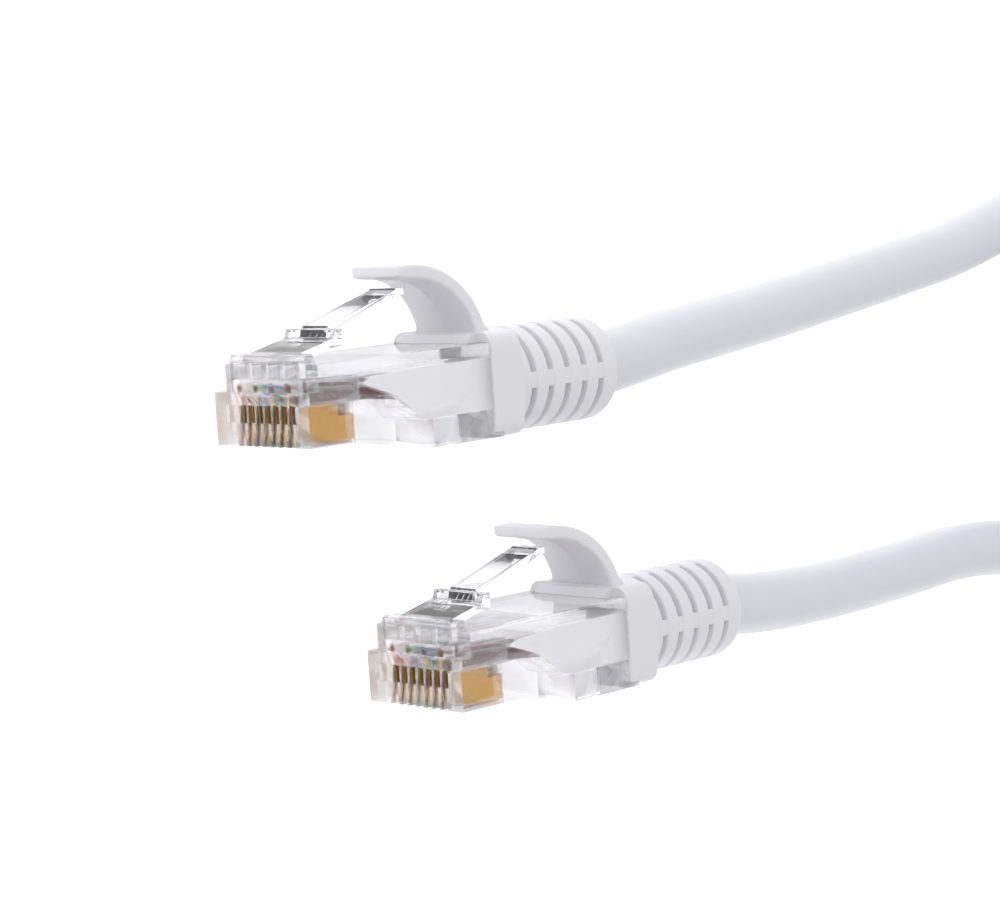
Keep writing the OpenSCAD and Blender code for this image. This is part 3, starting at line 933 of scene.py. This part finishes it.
class PATCH_OT_wires(bpy.types.Operator):
    """Makes the insulated wires and their copper cores"""

    bl_idname = "patch_cable.wires"
    bl_label = "Wires"

    def execute(self, context):
        looks = context.scene.patch_plug
        for i, (name, colour, striped) in enumerate(WIRES):
            def insulation(bm):
                uv = bm.loops.layers.uv.new("round_and_along")
                pipe(bm, wire_path(i, WIRE_FRONT), looks.wire_diameter / 2, uv=uv)

            mesh = carved(mesh_of(insulation), sharp=50)
            plastic, wire = wire_insulation(name, linear(colour), striped), f"wire_{name}"
            fix_to_ends(wire, mesh, plastic, wire)

        def cores(bm):
            for i in CONTACTS:
                pipe(bm, wire_path(i, WIRE_FRONT + CORE_PROUD), looks.core_diameter / 2, sides=12)

        mesh = carved(mesh_of(cores), sharp=50)
        fix_to_ends("copper_cores", mesh, bare_copper(), "cores")
        return {"FINISHED"}


class PATCH_OT_latches(bpy.types.Operator):
    """Makes the clear latches, with their roots behind the brow"""

    bl_idname = "patch_cable.latches"
    bl_label = "Latches"

    def execute(self, context):
        looks = context.scene.patch_plug
        pin_x, pin_z = LATCH_PIN
        tip_x, tip_z = STEM_TIP
        wide, narrow = looks.latch_width / 2, looks.stem_width / 2
        root = [(pin_x + LATCH_ROOT_R * cos(a), pin_z + LATCH_ROOT_R * sin(a))
                for a in (radians(80 - 20 * k) for k in range(10))]

        def ramp(bm):
            prism(bm, [*root, (LOCK_FRONT + 0.6, LOCK_Z - 0.2), (LOCK_X, LOCK_Z),
                       (LOCK_X, LOCK_TOP), (LOCK_FRONT - 0.25, LOCK_TOP), (LOCK_FRONT, 8.35)],
                  -wide, wide)

        def stem(bm):
            prism(bm, [(LOCK_FRONT - 0.6, LOCK_TOP - 0.15), (LOCK_X + 0.2, LOCK_TOP + 0.25),
                       (tip_x + 1.1, tip_z - 0.15), (tip_x + 0.9, tip_z), (tip_x, tip_z),
                       (tip_x, tip_z - 0.6), (tip_x + 0.7, tip_z - 0.7), (LOCK_X - 1.4, 8.65),
                       (LOCK_X, LOCK_Z + 0.3), (LOCK_X + 0.5, LOCK_Z + 0.3)], -narrow, narrow)

        def ridges(bm):
            for y in (-2.5, -1.95, 1.95, 2.5):
                block(bm, (LOCK_FRONT + 0.5, y - 0.12, LOCK_TOP - 0.18),
                      (LOCK_X - 0.5, y + 0.12, LOCK_TOP + 1))

        mesh = carved(united(mesh_of(ramp), mesh_of(stem)), [mesh_of(ridges)], edge=0.07)
        for end in ENDS:
            piece = lay_out("latch_clip", mesh, clear_polycarbonate("thick", 1.0),
                            "latch", end)
            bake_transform(piece)
        return {"FINISHED"}


# ---------------------------------------------------------------- boot

def collar_reach(c, s):
    """Distance from the cable's axis to the collar's rounded outline, along a direction."""
    if s > 0:
        height = COLLAR_Z[1] - AXIS_Z
    else:
        height = AXIS_Z - COLLAR_Z[0]
    wide = COLLAR_W / 2
    reach = min(wide / max(abs(c), 1e-6), height / max(abs(s), 1e-6))
    y, z = reach * abs(c), reach * abs(s)
    if y > wide - COLLAR_R and z > height - COLLAR_R:
        # within a corner: meet the corner's arc instead
        cy, cz = wide - COLLAR_R, height - COLLAR_R
        along = cy * abs(c) + cz * abs(s)
        reach = along + (along ** 2 - cy ** 2 - cz ** 2 + COLLAR_R ** 2) ** 0.5
    return reach


class PATCH_OT_boots(bpy.types.Operator):
    """Makes the boots: a collar over the plug, a neck and a slotted strain relief"""

    bl_idname = "patch_cable.boots"
    bl_label = "Boots"

    def execute(self, context):
        looks = context.scene.patch_boot
        relief_r = looks.relief_diameter / 2
        sides = 96
        end_round = 1.2

        def fill(bm):
            stations = [(COLLAR_FRONT, None), (COLLAR_BACK, None)]
            for k in range(1, 11):
                a = radians(9 * k)
                stations.append((NECK_X + (COLLAR_BACK - NECK_X) * cos(a),
                                 relief_r + 4.6 * (1 - sin(a))))
            for k in range(looks.slots):
                middle, side = SLOT_FIRST + k * SLOT_STEP, looks.slot_width / 2
                stations += [(middle + side + 0.06, relief_r),
                             (middle + side - 0.06, relief_r - GROOVE_DEPTH),
                             (middle - side + 0.06, relief_r - GROOVE_DEPTH),
                             (middle - side - 0.06, relief_r)]
            for k in range(7):
                a = radians(15 * k)
                stations.append((BOOT_END + end_round * (1 - sin(a)),
                                 relief_r - end_round * (1 - cos(a))))
            rings = []
            for x, limit in stations:
                ring = []
                for k in range(sides):
                    c, s = cos(2 * pi * k / sides), sin(2 * pi * k / sides)
                    reach = collar_reach(c, s)
                    if limit is not None:
                        settle = smooth((-24.0 - x) / (-24.0 - NECK_X))
                        reach = min(reach, limit) * (1 - settle) + limit * settle
                    ring.append((x, reach * c, AXIS_Z + reach * s))
                rings.append(ring)
            skin(bm, rings)

        def lip(bm):
            prism(bm, [(LIP_X, PLUG_H + 0.02), (LIP_X - 0.5, LIP_TOP), (COLLAR_FRONT - 0.5, LIP_TOP),
                       (COLLAR_FRONT - 0.5, PLUG_H + 0.02)], -LIP_HALF, LIP_HALF)

        def inside(bm):
            half = PLUG_W / 2 + FIT
            block(bm, (0, -half, -HEEL_DROP - FIT), (-PLUG_LEN - FIT, half, PLUG_H + FIT))

        def bore(bm):
            rod(bm, -10, -60, 2.9, 0, AXIS_Z, 48)

        def slots(bm):
            width = looks.slot_width / 2 - 0.02
            for k in range(looks.slots):
                middle = SLOT_FIRST + k * SLOT_STEP
                for side in range(4):
                    rings = []
                    for j in range(13):
                        flip = 1 if side % 2 == 0 else -1
                        a = radians((0 if side in (0, 3) else 180) + flip * (9 + 71 * j / 12))
                        rings.append([(middle + dx, r * cos(a), AXIS_Z + r * sin(a))
                                      for dx, r in ((-width, relief_r - looks.slot_depth),
                                                    (width, relief_r - looks.slot_depth),
                                                    (width, relief_r + 1), (-width, relief_r + 1))])
                    skin(bm, rings)

        def hood_room(bm):
            half = looks.hood_base_width / 2 + 0.1
            block(bm, (HOOD_ROOM[0], -half, HOOD_PIN[1] - 0.1), (HOOD_ROOM[1], half, COLLAR_Z[1] + 1))

        cuts = [mesh_of(f) for f in (inside, bore, slots, hood_room)]
        mesh = carved(united(mesh_of(fill), mesh_of(lip)), cuts, edge=0.1)
        fix_to_ends("boot_sleeve", mesh, soft_boot_vinyl(), "boot")
        return {"FINISHED"}


class PATCH_OT_hoods(bpy.types.Operator):
    """Makes the hoods that arch from the boots over the latches"""

    bl_idname = "patch_cable.hoods"
    bl_label = "Hoods"

    def execute(self, context):
        looks = context.scene.patch_boot
        thick = looks.hood_thickness
        middle_r = HOOD_R - thick / 2

        def section(x, z, lean, width, depth, corner):
            """Rounded outline across the hood, with a mould line down the middle of its faces."""
            outline = []
            for sy, st, start in ((1, 1, 0), (-1, 1, 90), (-1, -1, 180), (1, -1, 270)):
                for k in range(5):
                    a = radians(start + 22.5 * k)
                    outline.append((sy * (width / 2 - corner) + corner * cos(a),
                                    st * (depth / 2 - corner) + corner * sin(a)))
                if sy == st:
                    for y, rise in ((0.14 * sy, 0.0), (0.0, 0.05), (-0.14 * sy, 0.0)):
                        outline.append((y, st * (depth / 2 + rise)))
            return [(x + t * cos(lean), y, z + t * sin(lean)) for y, t in outline]

        def width_at(x):
            t = (x - HOOD_TIP_X) / (-22.6 - HOOD_TIP_X)
            return looks.hood_tip_width + (looks.hood_base_width - looks.hood_tip_width) * t

        def fill(bm):
            rings = []
            for k in range(33):
                # 180 degrees is straight back from the arc's centre, and 90 is straight up
                a = radians(171 - 81 * k / 32)
                x = HOOD_CENTRE[0] + middle_r * cos(a)
                z = HOOD_CENTRE[1] + middle_r * sin(a)
                foot = 0.5 * (1 - smooth((z - 7.2) / 0.9))
                rings.append(section(x, z, a, width_at(x) + foot, thick + foot, 0.3))
            top = HOOD_CENTRE[1] + middle_r
            for x, depth, width, corner in ((-13.9, 1.1, 0, 0.3), (-13.55, 1.02, 0, 0.3),
                                            (-13.36, 0.96, -0.06, 0.28),
                                            (-13.27, 0.8, -0.22, 0.24),
                                            (HOOD_TIP_X, 0.6, -0.42, 0.18)):
                rise = (thick - depth) / 2 if depth > 0.96 else (thick - 0.96) / 2
                rings.append(section(x, top + rise, pi / 2, width_at(x) + width, depth, corner))
            skin(bm, rings)

        mesh = carved(mesh_of(fill), sharp=60)
        for end in ENDS:
            piece = lay_out("hood_arch", mesh, soft_boot_vinyl(), "hood", end)
            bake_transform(piece)
        return {"FINISHED"}


# ---------------------------------------------------------------- add-on

class PATCH_PT_panel(bpy.types.Panel):
    """Lists the pieces of the patch cable"""

    bl_idname = "PATCH_PT_panel"
    bl_label = "Patch Cable"
    bl_space_type = "VIEW_3D"
    bl_region_type = "UI"
    bl_category = "Patch Cable"

    def draw(self, context):
        for group in (context.scene.patch_stage, context.scene.patch_cable,
                      context.scene.patch_plug, context.scene.patch_boot):
            box = self.layout.box()
            for name in group.__annotations__:
                box.prop(group, name)
        for operator in OPERATORS:
            self.layout.operator(operator.bl_idname)


OPERATORS = (PATCH_OT_stage, PATCH_OT_cable, PATCH_OT_jackets, PATCH_OT_housings,
             PATCH_OT_moulds, PATCH_OT_guides, PATCH_OT_contacts, PATCH_OT_wires,
             PATCH_OT_latches, PATCH_OT_boots, PATCH_OT_hoods)
GROUPS = {"patch_plug": PlugLooks, "patch_boot": BootLooks, "patch_cable": CableLooks,
          "patch_stage": StageLooks}


def register():
    for item in (*GROUPS.values(), *OPERATORS, PATCH_PT_panel):
        bpy.utils.register_class(item)
    for name, group in GROUPS.items():
        setattr(bpy.types.Scene, name, PointerProperty(type=group))


def unregister():
    for name in GROUPS:
        delattr(bpy.types.Scene, name)
    for item in (PATCH_PT_panel, *reversed(OPERATORS), *reversed(GROUPS.values())):
        bpy.utils.unregister_class(item)


def main():
    """Builds the whole model."""
    register()
    bpy.ops.patch_cable.stage()
    bpy.ops.patch_cable.cable()
    bpy.ops.patch_cable.jackets()
    bpy.ops.patch_cable.housings()
    bpy.ops.patch_cable.moulds()
    bpy.ops.patch_cable.guides()
    bpy.ops.patch_cable.contacts()
    bpy.ops.patch_cable.wires()
    bpy.ops.patch_cable.latches()
    bpy.ops.patch_cable.boots()
    bpy.ops.patch_cable.hoods()


if __name__ == "__main__":
    main()
